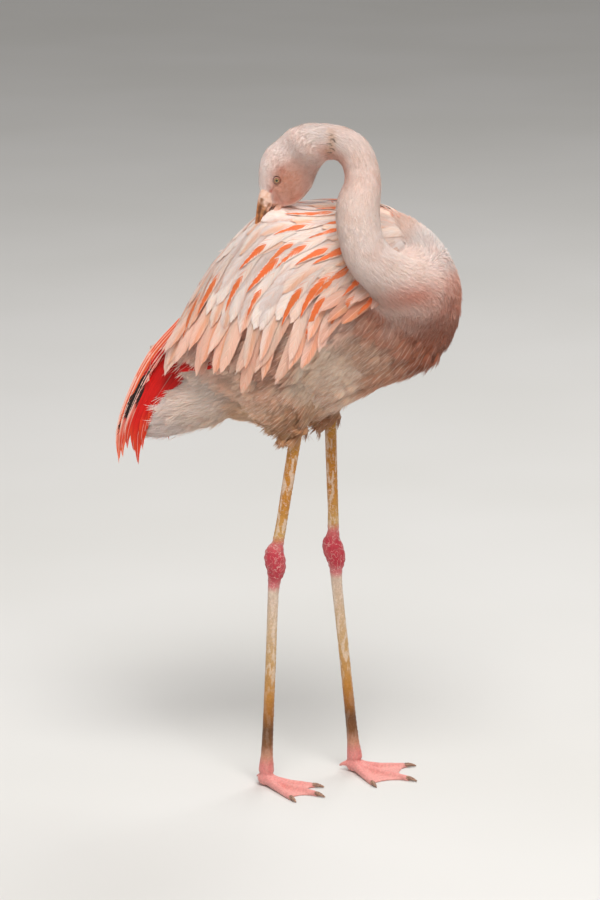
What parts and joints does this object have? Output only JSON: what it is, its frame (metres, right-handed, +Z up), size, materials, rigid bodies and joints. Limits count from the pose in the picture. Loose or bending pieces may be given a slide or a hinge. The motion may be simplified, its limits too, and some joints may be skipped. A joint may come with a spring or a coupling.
{
  "type": "flamingo",
  "caption": "Life-size model of a long-legged wading bird standing, its neck laid back along one side and its bill tucked between its wings.",
  "frame": {"origin": "on the floor, under the middle of the bird's box", "axes": "+Z up; the bird faces +X, and +Y is its left side"},
  "size_m": [0.417, 0.2178, 0.8056],
  "materials": {
    "plumage": "soft, matt, overlapping feathers in pale salmon pink with orange shaft streaks on the wings",
    "down": "velvety short pinkish white feathers on the neck and head, fluffy white under the tail",
    "scarlet": "silky scarlet and black flight feathers with orange-red tips",
    "bill_base": "smooth horn, pale pink with ochre-brown blotches, black towards the tip",
    "bill_jaw": "smooth horn, pale at the base and black from the bend on",
    "eye": "wet-looking eyeball with a pale yellow iris and a black pupil",
    "leg_skin": "scaly bare skin, yellow-ochre above, pale grey and then dark brown below",
    "joint_skin": "wrinkled crimson-pink skin over the hock joint",
    "foot_skin": "smooth pink skin with fine scutes, and thin webs",
    "claw": "dull greyish-brown horn"
  },
  "bodies": {
    "root": {"trunk": "plumage", "vent": "down", "tail": "scarlet", "neck_base": "plumage", "neck_middle": "down", "neck_top": "down", "head": "down", "eye_right": "eye", "eye_left": "eye", "bill_upper": "bill_base", "bill_lower": "bill_jaw", "wing_right": "plumage", "wing_left": "plumage", "flight_right": "scarlet", "flight_left": "scarlet", "thigh_right": "plumage", "shin_right": "leg_skin", "hock_right": "joint_skin", "shank_right": "leg_skin", "foot_right": "foot_skin", "claw_inner_right": "claw", "claw_middle_right": "claw", "claw_outer_right": "claw", "thigh_left": "plumage", "shin_left": "leg_skin", "hock_left": "joint_skin", "shank_left": "leg_skin", "foot_left": "foot_skin", "claw_inner_left": "claw", "claw_middle_left": "claw", "claw_outer_left": "claw"}
  },
  "joints": []
}
